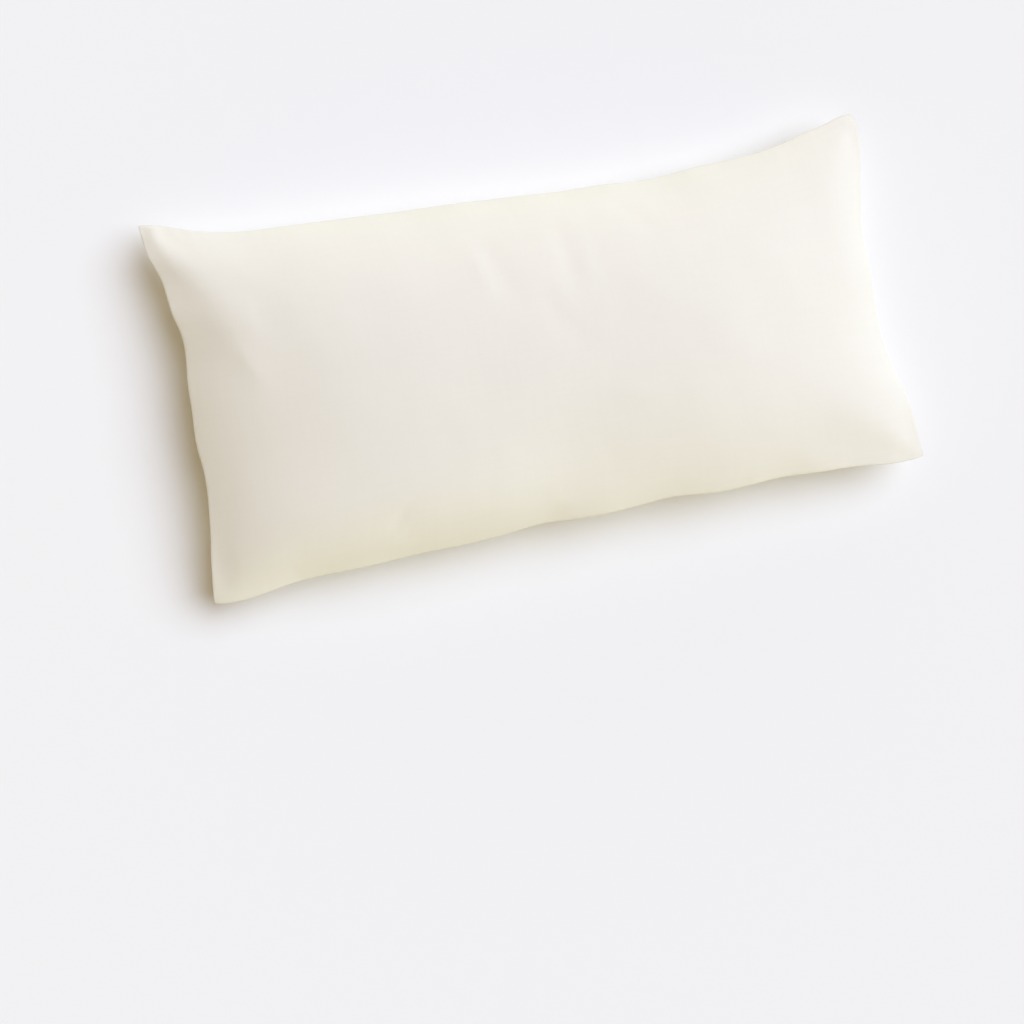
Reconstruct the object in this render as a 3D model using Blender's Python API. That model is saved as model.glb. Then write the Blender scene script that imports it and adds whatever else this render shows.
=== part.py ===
"""A filled pillowcase, one soft solid, lying on its back.

Two equal panels are sewn together all round with a plain turned seam. The
filling lifts the front panel into a crown and draws the four sides in
between the tips, so the seam is longer than the straight lines that join
them. The underside spreads out flat where it rests.

Metres, +X along the long side, +Y towards the top side, +Z up. The origin is
on the surface that the pillowcase rests on, under the middle of its outline.
"""

from collections import namedtuple
from math import exp, hypot, pi, sin

import bmesh
import bpy

# Driving dimensions.
TIP_SPAN_X = 0.797  # from tip to tip along the long sides, when filled
TIP_SPAN_Y = 0.396  # from tip to tip along the short sides, when filled
SEAM_HEIGHT = 0.058  # of the seam above the surface, at the middle of a side
TIP_HEIGHT = 0.044  # of the four tips above the surface
CROWN_RISE = 0.074  # of the crown above the seam
TIP_ROUNDING = 0.0035  # how far a tip is turned in from a sharp corner
SEAM_WAVE = 0.0014  # rise and fall of the puckered seam

# How full the crown is: a higher power is flatter in the middle and steeper
# near the seam.
CROWN_POWER_ALONG = 3.2
CROWN_POWER_ACROSS = 2.3
CROWN_FULLNESS = 0.80
REST_SPREAD = 1.55  # how far the underside flattens out on the surface

# How finely a panel is divided.
CELLS_ALONG = 58
CELLS_ACROSS = 30
EDGE_CROWDING = 0.55  # 0 is an even grid, 1 crowds its lines at the seam

CREAM = (0.855, 0.800, 0.690)
COTTON_ROUGHNESS = 0.9
SEWING_GAP = 1e-6  # points of the two rims this close are one point

# How far a side is drawn in from the straight line between its tips. along is
# the fraction of the side, from the left or from the top.
DrawnIn = namedtuple("DrawnIn", "along inward")
TOP_SIDE = (
    DrawnIn(0.00, 0.0000),
    DrawnIn(0.06, 0.0125),
    DrawnIn(0.13, 0.0260),
    DrawnIn(0.30, 0.0315),
    DrawnIn(0.50, 0.0365),
    DrawnIn(0.68, 0.0410),
    DrawnIn(0.78, 0.0345),
    DrawnIn(0.88, 0.0245),
    DrawnIn(0.95, 0.0100),
    DrawnIn(1.00, 0.0000),
)
BOTTOM_SIDE = (
    DrawnIn(0.00, 0.0000),
    DrawnIn(0.05, 0.0015),
    DrawnIn(0.12, 0.0080),
    DrawnIn(0.30, 0.0105),
    DrawnIn(0.48, 0.0150),
    DrawnIn(0.60, 0.0150),
    DrawnIn(0.72, 0.0118),
    DrawnIn(0.85, 0.0095),
    DrawnIn(0.93, 0.0035),
    DrawnIn(1.00, 0.0000),
)
LEFT_SIDE = (
    DrawnIn(0.00, 0.0000),
    DrawnIn(0.08, 0.0060),
    DrawnIn(0.17, 0.0175),
    DrawnIn(0.32, 0.0225),
    DrawnIn(0.42, 0.0205),
    DrawnIn(0.55, 0.0160),
    DrawnIn(0.68, 0.0170),
    DrawnIn(0.81, 0.0120),
    DrawnIn(0.90, 0.0060),
    DrawnIn(1.00, 0.0000),
)
RIGHT_SIDE = (
    DrawnIn(0.00, 0.0000),
    DrawnIn(0.10, 0.0020),
    DrawnIn(0.20, 0.0110),
    DrawnIn(0.32, 0.0200),
    DrawnIn(0.45, 0.0220),
    DrawnIn(0.60, 0.0270),
    DrawnIn(0.70, 0.0240),
    DrawnIn(0.80, 0.0120),
    DrawnIn(0.90, 0.0050),
    DrawnIn(1.00, 0.0000),
)

# The main folds of the front: soft ridges (lift above 0) and troughs (below
# 0), each along a straight line from one plan point to another.
Fold = namedtuple("Fold", "from_x from_y to_x to_y half_width lift")
FOLDS = (
    Fold(-0.390, 0.187, -0.327, 0.054, 0.016, 0.0034),  # from the top left tip
    Fold(-0.352, 0.165, -0.265, 0.090, 0.018, -0.0020),
    Fold(-0.326, 0.046, -0.300, -0.010, 0.011, 0.0016),
    Fold(-0.385, -0.186, -0.300, -0.145, 0.013, 0.0026),  # from the bottom left tip
    Fold(0.388, -0.187, 0.275, -0.110, 0.017, 0.0030),  # from the bottom right tip
    Fold(0.362, -0.181, 0.238, -0.151, 0.013, -0.0022),
    Fold(0.388, 0.187, 0.318, 0.095, 0.018, 0.0024),  # from the top right tip
    Fold(-0.077, 0.116, -0.055, 0.062, 0.011, 0.0016),  # short ones on the crown
    Fold(0.032, 0.108, 0.039, 0.050, 0.011, 0.0014),
    Fold(-0.024, 0.052, 0.008, -0.006, 0.013, -0.0014),
    Fold(0.020, -0.032, 0.080, -0.108, 0.016, -0.0014),
)


def along_table(table, along):
    """The drawn-in depth at a fraction of a side, on a smooth curve through its rows."""
    last = len(table) - 1
    here = max(i for i in range(last) if i == 0 or table[i].along <= along)

    def slope(i):
        low, high = table[max(i - 1, 0)], table[min(i + 1, last)]
        return (high.inward - low.inward) / (high.along - low.along)

    start, end = table[here], table[here + 1]
    step = end.along - start.along
    f = (along - start.along) / step
    return (
        (2 * f**3 - 3 * f**2 + 1) * start.inward
        + (f**3 - 2 * f**2 + f) * step * slope(here)
        + (3 * f**2 - 2 * f**3) * end.inward
        + (f**3 - f**2) * step * slope(here + 1)
    )


def plan_point(s, t):
    """Where a panel point lies in plan. s and t run from -1 to 1 across the flat panel."""
    from_left, from_top = (1 + s) / 2, (1 - t) / 2
    x = s * TIP_SPAN_X / 2
    x += (1 - from_left) * along_table(LEFT_SIDE, from_top)
    x -= from_left * along_table(RIGHT_SIDE, from_top)
    y = t * TIP_SPAN_Y / 2
    y -= (1 - from_top) * along_table(TOP_SIDE, from_left)
    y += from_top * along_table(BOTTOM_SIDE, from_left)
    tip = abs(s * t) ** 24
    return x - s * tip * TIP_ROUNDING, y - t * tip * TIP_ROUNDING


def seam_level(s, t):
    """The height of the seam, which droops at the tips and puckers a little along the sides."""
    tip = abs(s * t) ** 4
    pucker = sin(9 * pi * s + 0.6) * abs(t) ** 8 + sin(5 * pi * t + 1.1) * abs(s) ** 8
    return SEAM_HEIGHT - tip * (SEAM_HEIGHT - TIP_HEIGHT) + SEAM_WAVE * pucker * (1 - tip)


def fullness(s, t):
    """How far the filling parts the two panels: 0 at the seam, 1 in the middle."""
    along = 1 - abs(s) ** CROWN_POWER_ALONG
    across = 1 - abs(t) ** CROWN_POWER_ACROSS
    return (max(along, 0) * max(across, 0)) ** CROWN_FULLNESS


def fold_lift(x, y):
    """The height that the folds add at a plan point."""
    total = 0
    for fold in FOLDS:
        run_x, run_y = fold.to_x - fold.from_x, fold.to_y - fold.from_y
        length = hypot(run_x, run_y)
        along = ((x - fold.from_x) * run_x + (y - fold.from_y) * run_y) / length
        aside = ((x - fold.from_x) * run_y - (y - fold.from_y) * run_x) / length
        middle = 2 * along / length - 1
        total += fold.lift * exp(-((aside / fold.half_width) ** 2) - 2 * middle**4)
    return total


def front_point(s, t):
    x, y = plan_point(s, t)
    full = fullness(s, t)
    fade = min(1, 3 * full)
    return x, y, seam_level(s, t) + CROWN_RISE * full + fold_lift(x, y) * fade


def back_point(s, t):
    x, y = plan_point(s, t)
    sag = min(1, REST_SPREAD * fullness(s, t))
    return x, y, seam_level(s, t) * (1 - sag) ** 2


def crowded(even):
    """Moves an even grid line towards the seam, so that the steep flank has more lines."""
    return (1 - EDGE_CROWDING) * even + EDGE_CROWDING * sin(even * pi / 2)


def add_panel(sewn, place, facing):
    """Adds one panel as a grid and moves its points to where the filling puts them."""
    grid = bmesh.ops.create_grid(sewn, x_segments=CELLS_ALONG, y_segments=CELLS_ACROSS, size=1)
    for vert in grid["verts"]:
        vert.co = place(crowded(vert.co.x), crowded(vert.co.y))
    faces = list({face for vert in grid["verts"] for face in vert.link_faces})
    if facing < 0:
        bmesh.ops.reverse_faces(sewn, faces=faces)


def centre_in_plan(sewn):
    """Puts the middle of the uneven outline over the origin."""
    xs = [vert.co.x for vert in sewn.verts]
    ys = [vert.co.y for vert in sewn.verts]
    aside = (-(min(xs) + max(xs)) / 2, -(min(ys) + max(ys)) / 2, 0)
    bmesh.ops.translate(sewn, vec=aside, verts=sewn.verts)


def cotton_material():
    material = bpy.data.materials.new("cream_cotton")
    material.use_nodes = True
    shader = material.node_tree.nodes["Principled BSDF"]
    shader.inputs["Base Color"].default_value = (*CREAM, 1)
    shader.inputs["Roughness"].default_value = COTTON_ROUGHNESS
    shader.inputs["Metallic"].default_value = 0
    material.diffuse_color = (*CREAM, 1)
    return material


def build_pillowcase():
    """Sews the front panel to the back panel along their rims."""
    sewn = bmesh.new()
    add_panel(sewn, front_point, 1)
    add_panel(sewn, back_point, -1)
    bmesh.ops.remove_doubles(sewn, verts=sewn.verts, dist=SEWING_GAP)
    centre_in_plan(sewn)
    mesh = bpy.data.meshes.new("pillowcase")
    sewn.to_mesh(mesh)
    sewn.free()
    mesh.shade_smooth()
    mesh.materials.append(cotton_material())
    pillowcase = bpy.data.objects.new("pillowcase", mesh)
    bpy.context.scene.collection.objects.link(pillowcase)


def main():
    for leftover in list(bpy.data.objects):
        bpy.data.objects.remove(leftover)
    build_pillowcase()


main()
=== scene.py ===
from math import radians

import bpy
import numpy as np
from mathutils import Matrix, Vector, noise


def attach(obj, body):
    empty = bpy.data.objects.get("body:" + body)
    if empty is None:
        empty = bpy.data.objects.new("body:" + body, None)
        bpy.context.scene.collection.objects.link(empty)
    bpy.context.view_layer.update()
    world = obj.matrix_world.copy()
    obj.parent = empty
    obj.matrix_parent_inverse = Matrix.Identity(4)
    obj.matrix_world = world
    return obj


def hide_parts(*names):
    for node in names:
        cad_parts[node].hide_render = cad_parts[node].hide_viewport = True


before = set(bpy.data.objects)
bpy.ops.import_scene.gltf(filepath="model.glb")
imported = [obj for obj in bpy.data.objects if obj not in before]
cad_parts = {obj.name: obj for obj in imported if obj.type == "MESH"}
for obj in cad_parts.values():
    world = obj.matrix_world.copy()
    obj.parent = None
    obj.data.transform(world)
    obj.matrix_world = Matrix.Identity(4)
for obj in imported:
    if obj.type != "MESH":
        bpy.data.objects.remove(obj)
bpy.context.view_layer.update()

# metres throughout: +X along the long side, +Y towards the top side, +Z up from
# the floor; s and t are a point's place in its flat panel, from -1 to 1


class Number:
    # a number in a material: sums on it add Math nodes

    def __init__(self, nodes, socket):
        self.nodes = nodes
        self.socket = socket

    def worked(self, operation, *others):
        return self.nodes.worked(operation, self, *others)

    def __add__(self, other):
        return self.worked("ADD", other)

    __radd__ = __add__

    def __sub__(self, other):
        return self.worked("SUBTRACT", other)

    def __rsub__(self, other):
        return self.nodes.worked("SUBTRACT", other, self)

    def __mul__(self, other):
        return self.worked("MULTIPLY", other)

    __rmul__ = __mul__

    def __truediv__(self, other):
        return self.worked("DIVIDE", other)

    def smaller(self, other):
        return self.worked("MINIMUM", other)

    def larger(self, other):
        return self.worked("MAXIMUM", other)

    def power(self, exponent):
        return self.worked("POWER", exponent)

    def sine(self):
        return self.worked("SINE")

    def size(self):
        return self.worked("ABSOLUTE")

    def parity(self):
        # 1 and -1 in turn, one for each whole step
        return 1 - 2 * self.worked("FLOOR").worked("FLOORED_MODULO", 2)


class Nodes:
    # the nodes of one material, or of the air

    def __init__(self, tree):
        self.tree = tree

    def fill(self, socket, value):
        if isinstance(value, Number):
            self.tree.links.new(value.socket, socket)
        elif isinstance(value, bpy.types.NodeSocket):
            self.tree.links.new(value, socket)
        else:
            socket.default_value = value

    def add(self, kind, settings, sockets):
        node = self.tree.nodes.new(kind)
        for name, value in settings.items():
            setattr(node, name, value)
        for name, value in sockets.items():
            self.fill(node.inputs[name], value)
        return node

    def number(self, socket):
        return Number(self, socket)

    def worked(self, operation, *terms):
        node = self.add("ShaderNodeMath", {"operation": operation}, dict(enumerate(terms)))
        return self.number(node.outputs[0])

    def mixed(self, blend, share, first, second):
        # sockets 6 and 7 are a Mix node's two colours, and output 2 is its result
        node = self.add(
            "ShaderNodeMix",
            {"data_type": "RGBA", "blend_type": blend},
            {"Factor": share, 6: first, 7: second},
        )
        return node.outputs[2]


class Finish(Nodes):
    # a material and the nodes that feed its shader

    def __init__(self, name):
        self.material = bpy.data.materials.new(name)
        self.material.use_nodes = True
        super().__init__(self.material.node_tree)
        self.shader = self.tree.nodes["Principled BSDF"]

    def set(self, name, value):
        self.fill(self.shader.inputs[name], value)


cameraSet = {
    "place": (-0.4411, -0.1748, 1.6913),
    "turn": (2.9731, -12.1621, -11.9591),  # degrees about x, y and z
    "lens": 56.25,  # millimetres
    "sensor": 36.0,  # millimetres across the picture
}


def setCamera():
    bpy.ops.object.camera_add(location=cameraSet["place"])
    camera = bpy.context.object
    camera.name = "viewCamera"
    camera.rotation_euler = [radians(angle) for angle in cameraSet["turn"]]
    camera.data.sensor_width = cameraSet["sensor"]
    camera.data.lens = cameraSet["lens"]
    bpy.context.scene.camera = camera
    print("camera set")


studio = {
    "zenith": (0.215, 0.10, 0.03),  # light from straight above
    "walls": [  # soft glowing walls: axis, side and glow
        ("Y", 1, (2.24, 2.44, 1.68)),
        ("Y", -1, (2.24, 2.44, 1.16)),
        ("X", 1, (0.00, 0.05, 0.25)),
    ],
    "wallFade": 3.0,  # how fast the walls fade upwards
    "backdrop": (0.888, 0.880, 0.893),  # what the camera sees past the floor
    "keyColour": (0.720, 0.824, 1.0),
    "keyPower": 3.35,
    "keySpread": 60.0,  # degrees that the soft key covers
    "keyHeight": 60.0,  # degrees above the floor
    "keySide": 18.0,  # degrees from the +X end towards the top side
    "floorSize": 400.0,
    "floorColour": (0.90, 0.885, 0.86),
}


def layFloor():
    bpy.ops.object.select_all(action="DESELECT")
    bpy.ops.mesh.primitive_plane_add(size=studio["floorSize"])
    floor = bpy.context.object
    floor.name = "studioFloor"
    finish = Finish("palePaper")
    finish.set("Base Color", (*studio["floorColour"], 1))
    finish.set("Roughness", 1.0)
    finish.set("Specular IOR Level", 0.0)
    floor.data.materials.append(finish.material)


def hangKey():
    bpy.ops.object.light_add(type="SUN")
    key = bpy.context.object
    key.name = "softKey"
    key.data.angle = radians(studio["keySpread"])
    key.data.energy = studio["keyPower"]
    key.data.color = studio["keyColour"]
    key.rotation_euler = (0, radians(90 - studio["keyHeight"]), radians(studio["keySide"]))


def lightAir():
    # walls of light all round that fade into the zenith, and a plain backdrop
    world = bpy.data.worlds.new("studioAir")
    bpy.context.scene.world = world
    world.use_nodes = True
    air = Nodes(world.node_tree)
    direction = air.add("ShaderNodeTexCoord", {}, {}).outputs["Generated"]
    split = air.add("ShaderNodeSeparateXYZ", {}, {"Vector": direction})
    low = (1 - air.number(split.outputs["Z"]).size()).power(studio["wallFade"])
    walls = (0, 0, 0)
    for axis, side, glow in studio["walls"]:
        facing = (air.number(split.outputs[axis]) * side).larger(0)
        added = air.add(
            "ShaderNodeVectorMath", {"operation": "MULTIPLY_ADD"}, {0: glow, 1: facing, 2: walls}
        )
        walls = added.outputs["Vector"]
    light = air.mixed("MIX", low, (*studio["zenith"], 1), walls)
    seen = air.add("ShaderNodeLightPath", {}, {}).outputs["Is Camera Ray"]
    shown = air.mixed("MIX", seen, light, (*studio["backdrop"], 1))
    air.fill(air.tree.nodes["Background"].inputs["Color"], shown)


def setStudio():
    layFloor()
    hangKey()
    lightAir()
    bpy.context.scene.view_settings.view_transform = "Standard"
    print("studio set")


def readVectors(data, name):
    # one row of three for each point
    vectors = np.empty(len(data) * 3)
    data.foreach_get(name, vectors)
    return vectors.reshape(-1, 3)


def readPoints(mesh):
    return readVectors(mesh.vertices, "co")


def writePoints(mesh, points):
    mesh.vertices.foreach_set("co", points.ravel())
    mesh.update()


def readFlat(mesh):
    # where each point lay in its flat panel: s, t and the side, 1 for the front
    return readVectors(mesh.attributes["flatPlace"].data, "vector").T


def moveOut(mesh, lift):
    # moves each point along its normal, but none below the floor
    points = readPoints(mesh)
    points += readVectors(mesh.vertex_normals, "vector") * lift[:, None]
    points[:, 2] = np.maximum(points[:, 2], 0)
    writePoints(mesh, points)


def softStep(amount):
    amount = np.clip(amount, 0, 1)
    return amount * amount * (3 - 2 * amount)


def softRun(f, start, startSlope, end, endSlope):
    # a smooth run between two values with these slopes, where f goes from 0 to 1
    return (
        (2 * f**3 - 3 * f**2 + 1) * start
        + (f**3 - 2 * f**2 + f) * startSlope
        + (3 * f**2 - 2 * f**3) * end
        + (f**3 - f**2) * endSlope
    )


pillow = {
    "cutLength": 0.80,  # each panel, sewn flat, before it is filled
    "cutWidth": 0.40,
    "tipSpanX": 0.797,  # over the tips once filled
    "tipSpanY": 0.396,
    "tipRounding": 0.0035,
    "roundingPower": 24,  # the higher, the nearer to the tips the rounding stays
    "seamHeight": 0.058,
    "tipHeight": 0.044,
    "tipPower": 4,  # the higher, the nearer to the tips the seam stays up
    "droopTopLeft": 0.006,  # how much lower the two left tips hang
    "droopBottomLeft": 0.010,
    "seamPucker": 0.0006,
    "puckersAlong": (9, 0.6),  # waves along a long side, and where they start
    "puckersAcross": (5, 1.1),
    "puckerPower": 8,  # the higher, the nearer to the seam the waves stay
    "crownRise": 0.0705,  # before the pressure lifts it a little more
    "crownPowerAlong": 3.2,
    "crownPowerAcross": 2.3,
    "crownFullness": 0.80,
    "restSpread": 1.55,  # how far the underside flattens on the floor
    "pinch": 0.0014,  # the two panels lie closer together beside the seam
    "pinchPlace": 0.012,
    "mostPinch": 0.12,  # as a share of the gap between the panels
    "pinchHeight": 0.02,  # the underside is pinched in full from here up
    "waveReach": 0.06,  # how far in from the seam its waves are felt
    "swellFade": 0.03,  # the uneven fullness fades out this near the seam
    "centring": (-0.00085, 0.00105, 0),  # puts the uneven outline over the origin
    "cellsAlong": 150,
    "cellsAcross": 76,
    "edgeCrowding": 0.68,  # crowds the grid towards the seam
    "sewingGap": 1e-6,  # points of the two rims this close are sewn into one
    "onSeam": 1e-5,  # a point this near to a side of its panel is on the seam
    "fill": 0.7,  # for the record: 0 is slack, 1 is tight
}

# how far each side is drawn in from the line between its tips: fraction of
# the side, from the left or from the top, and metres
drawnIn = {
    "top": [
        (0.00, 0.0000), (0.06, 0.0125), (0.13, 0.0260), (0.30, 0.0315), (0.50, 0.0365),
        (0.68, 0.0410), (0.78, 0.0345), (0.88, 0.0245), (0.95, 0.0100), (1.00, 0.0000),
    ],
    "bottom": [
        (0.00, 0.0000), (0.05, 0.0015), (0.12, 0.0080), (0.30, 0.0105), (0.48, 0.0150),
        (0.60, 0.0150), (0.72, 0.0118), (0.85, 0.0095), (0.93, 0.0035), (1.00, 0.0000),
    ],
    "left": [
        (0.00, 0.0000), (0.08, 0.0060), (0.17, 0.0175), (0.32, 0.0225), (0.42, 0.0205),
        (0.55, 0.0160), (0.68, 0.0170), (0.81, 0.0120), (0.90, 0.0060), (1.00, 0.0000),
    ],
    "right": [
        (0.00, 0.0000), (0.10, 0.0020), (0.20, 0.0110), (0.32, 0.0200), (0.45, 0.0220),
        (0.60, 0.0270), (0.70, 0.0240), (0.80, 0.0120), (0.90, 0.0050), (1.00, 0.0000),
    ],
}

# how far the seam strays outwards from that line
seamWaves = {
    "top": [
        (0.00, 0.0032), (0.03, 0.0028), (0.07, -0.0006), (0.12, 0.0006), (0.22, 0.0014),
        (0.31, 0.0005), (0.40, 0.0013), (0.50, 0.0007), (0.55, 0.0001), (0.61, 0.0024),
        (0.66, 0.0010), (0.74, 0.0021), (0.79, 0.0006), (0.84, -0.0009), (0.91, 0.0014),
        (0.95, 0.0003), (0.98, 0.0028), (1.00, 0.0030),
    ],
    "bottom": [
        (0.00, 0.0000), (0.02, 0.0011), (0.07, 0.0002), (0.13, -0.0004), (0.20, 0.0009),
        (0.27, -0.0006), (0.33, 0.0010), (0.38, 0.0010), (0.44, -0.0012), (0.48, 0.0020),
        (0.53, 0.0038), (0.57, 0.0024), (0.62, -0.0002), (0.68, 0.0028), (0.73, 0.0013),
        (0.78, -0.0007), (0.84, 0.0014), (0.90, -0.0002), (0.95, 0.0010), (0.98, 0.0008),
        (1.00, 0.0004),
    ],
    "left": [
        (0.00, -0.0008), (0.04, -0.0014), (0.09, 0.0005), (0.14, 0.0008), (0.20, 0.0025),
        (0.25, 0.0028), (0.30, -0.0009), (0.36, -0.0010), (0.43, 0.0005), (0.51, -0.0009),
        (0.59, 0.0000), (0.68, -0.0008), (0.85, 0.0000), (0.95, -0.0006), (1.00, 0.0000),
    ],
    "right": [
        (0.00, 0.0028), (0.04, 0.0034), (0.10, 0.0015), (0.16, 0.0010), (0.24, -0.0003),
        (0.34, -0.0020), (0.42, -0.0006), (0.52, -0.0002), (0.60, 0.0010), (0.69, 0.0014),
        (0.74, 0.0004), (0.82, 0.0014), (0.90, 0.0010), (0.96, 0.0016), (1.00, 0.0046),
    ],
}

# how much higher the bottom seam stands, from the left to the right
bottomRise = [
    (0.00, 0.0000), (0.06, -0.0015), (0.15, -0.0030), (0.28, -0.0025), (0.42, 0.0000),
    (0.52, 0.0025), (0.66, 0.0050), (0.80, 0.0045), (0.92, 0.0045), (1.00, 0.0000),
]

# where the filling lies fuller or thinner: the middle of the place, its reach
# along and across, and how much higher the front stands there
swells = [
    ((-0.205, -0.140), (0.155, 0.050), 0.0100),
    ((0.250, -0.070), (0.100, 0.070), -0.0030),
    ((0.270, 0.030), (0.070, 0.080), -0.0025),
    ((0.030, 0.120), (0.100, 0.040), 0.0015),
    ((0.352, 0.000), (0.032, 0.130), 0.0008),
]


def seamDistance(s, t):
    # metres of cloth to the nearest side of the panel
    alongside = (1 - np.abs(s)) * pillow["cutLength"] / 2
    across = (1 - np.abs(t)) * pillow["cutWidth"] / 2
    return np.minimum(alongside, across)


def clothFromSeam(mesh):
    # the same for each point of the mesh
    return seamDistance(*readFlat(mesh)[:2])


def depthAlong(rows, along):
    # the depth on a smooth curve through the rows of a side
    places, depths = np.array(rows).T
    slopes = np.empty(len(places))
    slopes[1:-1] = (depths[2:] - depths[:-2]) / (places[2:] - places[:-2])
    slopes[0] = (depths[1] - depths[0]) / (places[1] - places[0])
    slopes[-1] = (depths[-1] - depths[-2]) / (places[-1] - places[-2])
    here = np.clip(np.searchsorted(places, along, side="right") - 1, 0, len(places) - 2)
    step = places[here + 1] - places[here]
    f = (along - places[here]) / step
    return softRun(f, depths[here], step * slopes[here], depths[here + 1], step * slopes[here + 1])


def felt(share, cut):
    # how much of a seam's wave is felt at this share of the way across
    return np.clip(1 - share * pillow[cut] / pillow["waveReach"], 0, 1) ** 2


def planPlaces(s, t):
    # where the filling draws each point to, seen from above
    fromLeft, fromTop = (1 + s) / 2, (1 - t) / 2
    x = s * pillow["tipSpanX"] / 2
    x += (1 - fromLeft) * depthAlong(drawnIn["left"], fromTop)
    x -= fromLeft * depthAlong(drawnIn["right"], fromTop)
    x -= felt(fromLeft, "cutLength") * depthAlong(seamWaves["left"], fromTop)
    x += felt(1 - fromLeft, "cutLength") * depthAlong(seamWaves["right"], fromTop)
    y = t * pillow["tipSpanY"] / 2
    y += fromTop * depthAlong(drawnIn["bottom"], fromLeft)
    y -= (1 - fromTop) * depthAlong(drawnIn["top"], fromLeft)
    y -= felt(1 - fromTop, "cutWidth") * depthAlong(seamWaves["bottom"], fromLeft)
    y += felt(fromTop, "cutWidth") * depthAlong(seamWaves["top"], fromLeft)
    corner = np.abs(s * t) ** pillow["roundingPower"] * pillow["tipRounding"]
    return x - s * corner, y - t * corner


def seamHeights(s, t):
    # how high the seam holds the cloth: lower at the tips, puckered along the sides
    fromLeft, fromTop = (1 + s) / 2, (1 - t) / 2
    tip = np.abs(s * t) ** pillow["tipPower"]
    seam = pillow["seamHeight"] - tip * (pillow["seamHeight"] - pillow["tipHeight"])
    droop = (1 - fromTop) * pillow["droopTopLeft"] + fromTop * pillow["droopBottomLeft"]
    seam -= tip * (1 - fromLeft) * droop
    seam += felt(1 - fromTop, "cutWidth") * depthAlong(bottomRise, fromLeft)
    pucker = 0
    for (waves, start), along, across in (
        (pillow["puckersAlong"], s, t),
        (pillow["puckersAcross"], t, s),
    ):
        beside = np.abs(across) ** pillow["puckerPower"]
        pucker += np.sin(waves * np.pi * along + start) * beside
    return seam + pillow["seamPucker"] * pucker * (1 - tip)


def filledPlaces(s, t, side):
    # where the filling puts the points of the two flat panels
    x, y = planPlaces(s, t)
    seam = seamHeights(s, t)
    along = np.maximum(1 - np.abs(s) ** pillow["crownPowerAlong"], 0)
    across = np.maximum(1 - np.abs(t) ** pillow["crownPowerAcross"], 0)
    full = (along * across) ** pillow["crownFullness"]
    front = seam + pillow["crownRise"] * full
    fade = softStep(seamDistance(s, t) / pillow["swellFade"])
    for middle, reach, lift in swells:
        # flat-topped along the pillowcase, round across it
        away = ((x - middle[0]) / reach[0]) ** 4 + ((y - middle[1]) / reach[1]) ** 2
        front += lift * fade * np.exp(-away)
    back = seam * (1 - np.minimum(1, pillow["restSpread"] * full)) ** 2
    beside = seamDistance(s, t) / pillow["pinchPlace"]
    pinch = pillow["pinch"] * beside * np.exp(1 - beside)
    pinch = np.minimum(pinch, (front - back) * pillow["mostPinch"])
    front, back = front - pinch, back + pinch * np.minimum(1, back / pillow["pinchHeight"])
    return np.stack([x, y, np.where(side > 0, front, back)], 1)


def cutPanels():
    # two flat grids, at z 1 and -1, whose points keep their places in the cloth
    bpy.ops.object.select_all(action="DESELECT")
    bpy.ops.mesh.primitive_grid_add(
        x_subdivisions=pillow["cellsAlong"], y_subdivisions=pillow["cellsAcross"], size=2
    )
    piece = bpy.context.object
    piece.name = "pillowcaseCotton"
    bpy.ops.object.mode_set(mode="EDIT")
    bpy.ops.mesh.select_all(action="SELECT")
    bpy.ops.transform.translate(value=(0, 0, 1))
    bpy.ops.mesh.duplicate()
    bpy.ops.mesh.flip_normals()
    bpy.ops.transform.translate(value=(0, 0, -2))
    bpy.ops.object.mode_set(mode="OBJECT")

    mesh = piece.data
    flat = readPoints(mesh)
    crowding = pillow["edgeCrowding"]
    for axis in (0, 1):
        even = flat[:, axis]
        flat[:, axis] = (1 - crowding) * even + crowding * np.sin(even * np.pi / 2)
    place = mesh.attributes.new("flatPlace", "FLOAT_VECTOR", "POINT")
    place.data.foreach_set("vector", flat.ravel())

    corners = np.empty(len(mesh.loops), dtype=np.int32)
    mesh.loops.foreach_get("vertex_index", corners)
    cut = np.array([pillow["cutLength"], pillow["cutWidth"]])
    mesh.uv_layers[0].name = "clothMetres"
    mesh.uv_layers[0].data.foreach_set("uv", ((1 + flat[corners, :2]) / 2 * cut).ravel())
    print("cut panels:", len(mesh.polygons), "faces")
    return piece


def sewPanels(piece):
    mesh = piece.data
    s, t, side = readFlat(mesh)
    writePoints(mesh, filledPlaces(s, t, side) + np.array(pillow["centring"]))
    bpy.ops.object.mode_set(mode="EDIT")
    bpy.ops.mesh.select_all(action="SELECT")
    bpy.ops.mesh.remove_doubles(threshold=pillow["sewingGap"])
    bpy.ops.object.mode_set(mode="OBJECT")
    print("sewn:", len(mesh.vertices), "points")


fabric = {
    "pressure": 4.0,
    "frames": 20,
    "quality": 6,
    "weight": 0.3,
    "stretch": 20.0,
    "shear": 8.0,
    "bending": 3.0,
    "surplusAtSeam": 0.0003,  # spare cloth beside the seam, as a fraction
    "surplusWidth": 0.07,
    "mostMove": 0.012,  # no point leaves its start by more
    "leastMove": 1e-9,  # less than this is no move at all
    "groundSize": 3.0,
    "startGap": 0.002,  # between the underside and the floor at the start
    "clearance": 0.001,
}


def addGroup(piece, name, weights):
    group = piece.vertex_groups.new(name=name)
    for index, weight in enumerate(weights):
        if weight > 0:
            group.add([index], float(weight), "REPLACE")


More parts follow.
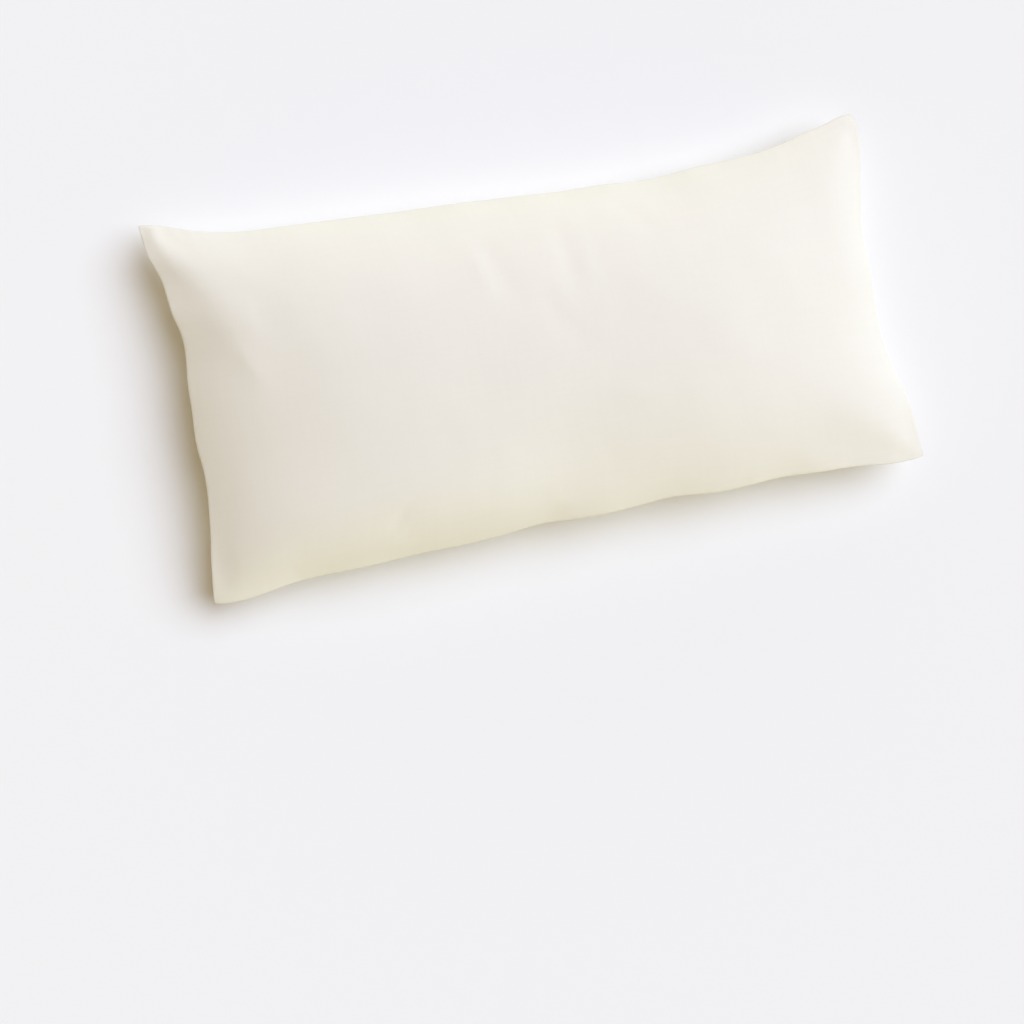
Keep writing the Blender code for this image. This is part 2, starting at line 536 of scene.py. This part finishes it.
def runCloth(piece):
    # the filling presses the cloth out while the seam holds and the floor carries it
    bpy.ops.mesh.primitive_plane_add(size=fabric["groundSize"])
    ground = bpy.context.object
    bpy.ops.object.modifier_add(type="COLLISION")
    ground.collision.thickness_outer = fabric["clearance"]
    bpy.context.view_layer.objects.active = piece
    bpy.ops.object.modifier_add(type="CLOTH")
    cloth = piece.modifiers[-1]
    settings = cloth.settings
    settings.quality = fabric["quality"]
    settings.mass = fabric["weight"]
    settings.tension_stiffness = fabric["stretch"]
    settings.compression_stiffness = fabric["stretch"]
    settings.shear_stiffness = fabric["shear"]
    settings.bending_stiffness = fabric["bending"]
    settings.vertex_group_mass = "seam"
    settings.vertex_group_shrink = "taut"
    settings.shrink_min = -fabric["surplusAtSeam"]
    settings.shrink_max = 0
    settings.use_pressure = True
    settings.uniform_pressure_force = fabric["pressure"]
    settings.effector_weights.gravity = 0
    cloth.collision_settings.distance_min = fabric["clearance"]
    cloth.point_cache.frame_start = 1
    cloth.point_cache.frame_end = fabric["frames"]
    for step in range(1, fabric["frames"] + 1):
        bpy.context.scene.frame_set(step)
    bpy.ops.object.modifier_apply(modifier=cloth.name)
    bpy.data.objects.remove(ground)


def inflate(piece):
    mesh = piece.data
    fromSeam = clothFromSeam(mesh)
    addGroup(piece, "seam", (fromSeam < pillow["onSeam"]).astype(float))
    addGroup(piece, "taut", softStep(fromSeam / fabric["surplusWidth"]))
    start = readPoints(mesh)
    start[:, 2] += fabric["startGap"]
    writePoints(mesh, start)
    runCloth(piece)

    moved = readPoints(mesh) - start
    length = np.linalg.norm(moved, axis=1, keepdims=True)
    kept = np.minimum(1, fabric["mostMove"] / np.maximum(length, fabric["leastMove"]))
    points = start + moved * kept
    points[:, 2] -= points[:, 2].min()
    writePoints(mesh, points)
    print("inflated: moved by up to", round(float(length.max()), 4), "m")


# creases of the front, each a soft line through its plan points, with its half
# width at the start and at the end and its lift (below 0 is a trough)
creases = [
    (  # from the top left tip
        [(-0.386, 0.214), (-0.383, 0.194), (-0.381, 0.178), (-0.375, 0.163), (-0.366, 0.149),
         (-0.355, 0.134), (-0.343, 0.114), (-0.326, 0.078), (-0.315, 0.040), (-0.313, 0.008)],
        (0.0035, 0.026),
        0.0025,
    ),
    ([(-0.345, 0.176), (-0.300, 0.146), (-0.240, 0.128)], (0.014, 0.026), -0.0006),
    ([(-0.322, 0.050), (-0.318, 0.036), (-0.306, 0.008)], (0.006, 0.009), 0.0007),
    ([(-0.306, 0.104), (-0.309, 0.084), (-0.303, 0.060)], (0.008, 0.010), 0.0004),
    ([(-0.388, -0.187), (-0.345, -0.172), (-0.298, -0.147)], (0.008, 0.026), 0.0007),  # bottom left
    ([(0.388, -0.187), (0.335, -0.148), (0.275, -0.108)], (0.008, 0.026), 0.0013),  # bottom right
    ([(0.364, -0.182), (0.300, -0.170), (0.238, -0.151)], (0.010, 0.020), -0.0006),
    ([(0.388, 0.187), (0.352, 0.142), (0.318, 0.095)], (0.008, 0.026), 0.0010),  # top right
    ([(-0.078, 0.118), (-0.074, 0.092), (-0.068, 0.058)], (0.006, 0.008), 0.0005),  # on the crown
    ([(-0.060, 0.116), (-0.056, 0.084), (-0.042, 0.044)], (0.011, 0.015), -0.0009),
    ([(0.020, 0.122), (0.020, 0.088), (0.018, 0.046)], (0.009, 0.012), -0.0008),
    ([(0.042, 0.100), (0.038, 0.076), (0.039, 0.050)], (0.006, 0.008), 0.0005),
    ([(-0.014, 0.054), (-0.008, 0.028), (-0.001, 0.004)], (0.009, 0.012), -0.0006),
    ([(-0.108, -0.090), (-0.106, -0.122), (-0.112, -0.152)], (0.009, 0.012), -0.0005),
    ([(0.019, -0.100), (0.026, -0.124), (0.028, -0.142)], (0.008, 0.010), -0.0005),
    ([(0.006, 0.016), (0.011, 0.000), (0.022, -0.018)], (0.009, 0.011), -0.0005),
    ([(0.030, -0.056), (0.064, -0.072), (0.094, -0.084)], (0.010, 0.013), 0.0004),
    ([(0.087, 0.138), (0.109, 0.113), (0.122, 0.088)], (0.009, 0.012), -0.0007),
    ([(-0.224, 0.088), (-0.219, 0.062), (-0.212, 0.036)], (0.009, 0.012), 0.0003),
    ([(-0.150, -0.060), (-0.140, -0.090), (-0.145, -0.130)], (0.012, 0.018), -0.0004),
    ([(0.172, 0.118), (0.235, 0.050), (0.262, -0.040)], (0.020, 0.028), 0.0005),  # long soft bands
    ([(0.070, 0.060), (0.150, 0.000), (0.190, -0.090)], (0.020, 0.030), 0.0005),
]

creaseWork = {
    "curveSteps": 6,  # straight runs between two plan points
    "endRun": 0.25,  # the share of a crease over which its end rises
    "endLift": 0.35,  # what is left of its lift at the very end
    "seamFade": 0.006,  # creases fade out this near the seam
}


def curveThrough(points):
    # a soft curve through the points, cut into short straight runs
    points = np.array(points)
    slopes = np.gradient(points, axis=0)
    f = np.arange(creaseWork["curveSteps"])[:, None] / creaseWork["curveSteps"]
    runs = [
        softRun(f, points[i], slopes[i], points[i + 1], slopes[i + 1])
        for i in range(len(points) - 1)
    ]
    return np.concatenate([*runs, points[-1:]])


def creaseLift(plan):
    # the height that the creases add at each plan point
    total = np.zeros(len(plan))
    for points, halfWidths, lift in creases:
        line = curveThrough(points)
        nearest = np.full(len(plan), np.inf)
        place = np.zeros(len(plan))
        for step, (a, b) in enumerate(zip(line[:-1], line[1:])):
            run = b - a
            f = np.clip((plan - a) @ run / (run @ run), 0, 1)
            gap = np.linalg.norm(plan - a - f[:, None] * run, axis=1)
            closer = gap < nearest
            nearest = np.where(closer, gap, nearest)
            place = np.where(closer, (step + f) / (len(line) - 1), place)
        away = nearest / (halfWidths[0] + (halfWidths[1] - halfWidths[0]) * place)
        endRun, endLift = creaseWork["endRun"], creaseWork["endLift"]
        taper = softStep(place / endRun) * softStep((1 - place) / endRun)
        total += lift * (endLift + (1 - endLift) * taper) * np.exp(-(away**2))
    return total


def creaseFront(piece):
    mesh = piece.data
    onFront = readFlat(mesh)[2] > 0
    fade = softStep(clothFromSeam(mesh) / creaseWork["seamFade"]) * onFront
    moveOut(mesh, creaseLift(readPoints(mesh)[:, :2]) * fade)
    print("creases:", len(creases))


def sharpenRim(piece):
    # keeps the sewn rim a clean line when the cloth is subdivided
    mesh = piece.data
    onRim = clothFromSeam(mesh) < pillow["onSeam"]
    bpy.ops.object.mode_set(mode="EDIT")
    bpy.ops.mesh.select_mode(type="EDGE")
    bpy.ops.mesh.select_all(action="DESELECT")
    bpy.ops.object.mode_set(mode="OBJECT")
    for edge in mesh.edges:
        edge.select = bool(onRim[edge.vertices[0]] and onRim[edge.vertices[1]])
    bpy.ops.object.mode_set(mode="EDIT")
    bpy.ops.transform.edge_crease(value=1)
    bpy.ops.object.mode_set(mode="OBJECT")


def refine(piece):
    bpy.ops.object.select_all(action="DESELECT")
    piece.select_set(True)
    bpy.context.view_layer.objects.active = piece
    sharpenRim(piece)
    bpy.ops.object.modifier_add(type="SUBSURF")
    smoother = piece.modifiers[-1]
    smoother.levels = 1
    smoother.render_levels = 1
    bpy.ops.object.modifier_apply(modifier=smoother.name)
    bpy.ops.object.shade_smooth()
    print("refined:", len(piece.data.polygons), "faces")


seamWork = {
    "sink": 0.0004,  # the stitched line lies this far inside the two lips
    "grooveWidth": 0.0009,
    "lipPlace": 0.0022,
    "lipWidth": 0.0016,
    "lipLift": 0.00010,
    "puckerPitch": 0.021,
    "puckerDrift": (1.7, 0.37),  # how far the puckers wander, and how often
    "puckerCalm": (0.4, 0.23),  # how much weaker some are, and how often
    "puckerLift": 0.00012,
    "puckerStart": 0.002,  # from the seam to where they are fully felt
    "puckerReach": 0.016,
    "unevenSize": 0.055,  # broad, faint unevenness of the filled cloth
    "unevenLift": 0.0005,
    "unevenFade": 0.03,  # none of it at the seam or on the floor
}


def workSeam(piece):
    # sinks the stitched line between two soft lips and puckers the cloth beside it
    mesh = piece.data
    s, t, side = readFlat(mesh)
    fromSeam = seamDistance(s, t)
    onLongSide = (1 - np.abs(t)) * pillow["cutWidth"] < (1 - np.abs(s)) * pillow["cutLength"]
    # the short sides start elsewhere, and so does the back, so no two sides match
    along = np.where(onLongSide, s * pillow["cutLength"] / 2, 1 + t * pillow["cutWidth"] / 2)
    turns = 2 * np.pi * along / seamWork["puckerPitch"]
    drift, driftRate = seamWork["puckerDrift"]
    calm, calmRate = seamWork["puckerCalm"]
    waves = np.sin(turns + drift * np.sin(driftRate * turns))
    waves *= 1 - calm + calm * np.sin(calmRate * turns + side)
    reach = softStep(fromSeam / seamWork["puckerStart"])
    reach *= np.exp(-((fromSeam / seamWork["puckerReach"]) ** 2))
    lip = np.exp(-(((fromSeam - seamWork["lipPlace"]) / seamWork["lipWidth"]) ** 2))
    groove = np.exp(-((fromSeam / seamWork["grooveWidth"]) ** 2))
    lifted = seamWork["lipLift"] * lip + seamWork["puckerLift"] * waves * reach
    moveOut(mesh, lifted - seamWork["sink"] * groove)
    print("seam worked")


def unevenFront(piece):
    # the filling is never quite even
    mesh = piece.data
    points = readPoints(mesh)
    bumps = np.array([noise.noise(Vector(point) / seamWork["unevenSize"]) for point in points])
    fade = softStep(clothFromSeam(mesh) / seamWork["unevenFade"])
    fade *= softStep(points[:, 2] / seamWork["unevenFade"])
    moveOut(mesh, bumps * fade * seamWork["unevenLift"])
    print("front made uneven")


cotton = {
    "colour": (0.880, 0.835, 0.745),
    "patchSize": 0.12,  # broad light and dark patches
    "patchDetail": 2.0,
    "toneSpread": 0.018,
    "slubSize": 0.004,  # thicker stretches of thread
    "slubStretch": 0.06,  # below 1 draws them out along the thread
    "slubDetail": 2.0,
    "slubHeight": 0.00002,
    "threadPitch": 0.0005,
    "threadHeight": 0.00006,
    "threadSpread": 0.02,  # in tone, from thread to thread
    "gapPaintedShade": 0.02,  # painted shade in the gaps between the threads
    "crumpleSize": 0.009,
    "crumpleDetail": 3.0,
    "crumpleHeight": 0.00010,
    "roughness": 0.86,
    "roughnessSpread": 0.06,
    "specular": 0.3,
    "sheen": 0.12,
    "sheenRoughness": 0.5,
    "paintedSeamShadeWidth": 0.0012,  # half width of the painted shade along the stitches, where the turned seam falls away from the light
    # painted shade: how much darker the cloth is painted right at the seam
    "seamPaintedShade": 0.12,
}


def spots(finish, cloth, kind, stretch=(1, 1, 1)):
    # soft uneven spots from 0 to 1, as large and as detailed as this kind's
    moved = finish.add("ShaderNodeMapping", {}, {"Vector": cloth, "Scale": stretch})
    scale, detail = 1 / cotton[kind + "Size"], cotton[kind + "Detail"]
    noisy = finish.add(
        "ShaderNodeTexNoise",
        {"noise_dimensions": "3D"},
        {"Vector": moved.outputs["Vector"], "Scale": scale, "Detail": detail},
    )
    return finish.number(noisy.outputs["Fac"])


def plainWeave(u, v):
    # round threads, each over and under the next: 1 on top, 0 in the gaps
    warp, weft = u / cotton["threadPitch"], v / cotton["threadPitch"]
    warpRound = (warp * np.pi).sine().size()
    weftRound = (weft * np.pi).sine().size()
    warpOver = 0.5 + 0.5 * (weft * np.pi).sine() * warp.parity()
    weftOver = 0.5 + 0.5 * (warp * np.pi).sine() * weft.parity()
    return (warpRound * warpOver).larger(weftRound * (1 - weftOver))


def cottonFinish():
    # plain cream cotton with a fine weave that follows the cut panels
    finish = Finish("creamCotton")
    cloth = finish.add("ShaderNodeUVMap", {"uv_map": "clothMetres"}, {}).outputs["UV"]
    split = finish.add("ShaderNodeSeparateXYZ", {}, {"Vector": cloth})
    u, v = finish.number(split.outputs["X"]), finish.number(split.outputs["Y"])
    weave = plainWeave(u, v)

    broad = spots(finish, cloth, "patch")
    crumple = spots(finish, cloth, "crumple")
    alongWarp = spots(finish, cloth, "slub", (cotton["slubStretch"], 1, 1))
    alongWeft = spots(finish, cloth, "slub", (1, cotton["slubStretch"], 1))
    slubs = alongWarp + alongWeft - 1

    fromEdge = u.smaller(pillow["cutLength"] - u).smaller(v.smaller(pillow["cutWidth"] - v))
    # painted shade: darker towards the sewn rim, standing in for the shade of the turned edge
    seamPaintedShade = (1 - fromEdge / cotton["paintedSeamShadeWidth"]).larger(0) * cotton["seamPaintedShade"]
    tone = 1 + (broad - 0.5) * 2 * cotton["toneSpread"] + slubs * cotton["threadSpread"]
    # painted shade: the gaps between the threads and the seam are painted darker
    tone = (tone - (1 - weave) * cotton["gapPaintedShade"]) * (1 - seamPaintedShade)
    tint = finish.add("ShaderNodeCombineXYZ", {}, {"X": tone, "Y": tone, "Z": tone})
    colour = finish.mixed("MULTIPLY", 1, (*cotton["colour"], 1), tint.outputs["Vector"])
    finish.set("Base Color", colour)
    finish.set("Roughness", cotton["roughness"] + (broad - 0.5) * cotton["roughnessSpread"])
    finish.set("Specular IOR Level", cotton["specular"])
    finish.set("Sheen Weight", cotton["sheen"])
    finish.set("Sheen Roughness", cotton["sheenRoughness"])

    relief = weave * cotton["threadHeight"] + crumple * cotton["crumpleHeight"]
    relief = relief + slubs * cotton["slubHeight"]
    bump = finish.add("ShaderNodeBump", {}, {"Strength": 1, "Distance": 1, "Height": relief})
    finish.set("Normal", bump.outputs["Normal"])
    print("cotton finished")
    return finish.material


def makePillowcase():
    piece = cutPanels()
    sewPanels(piece)
    inflate(piece)
    creaseFront(piece)
    refine(piece)
    workSeam(piece)
    unevenFront(piece)
    piece.data.materials.append(cottonFinish())
    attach(piece, "root")
    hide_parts("pillowcase")
    print("pillowcase finished")


setCamera()
setStudio()
makePillowcase()
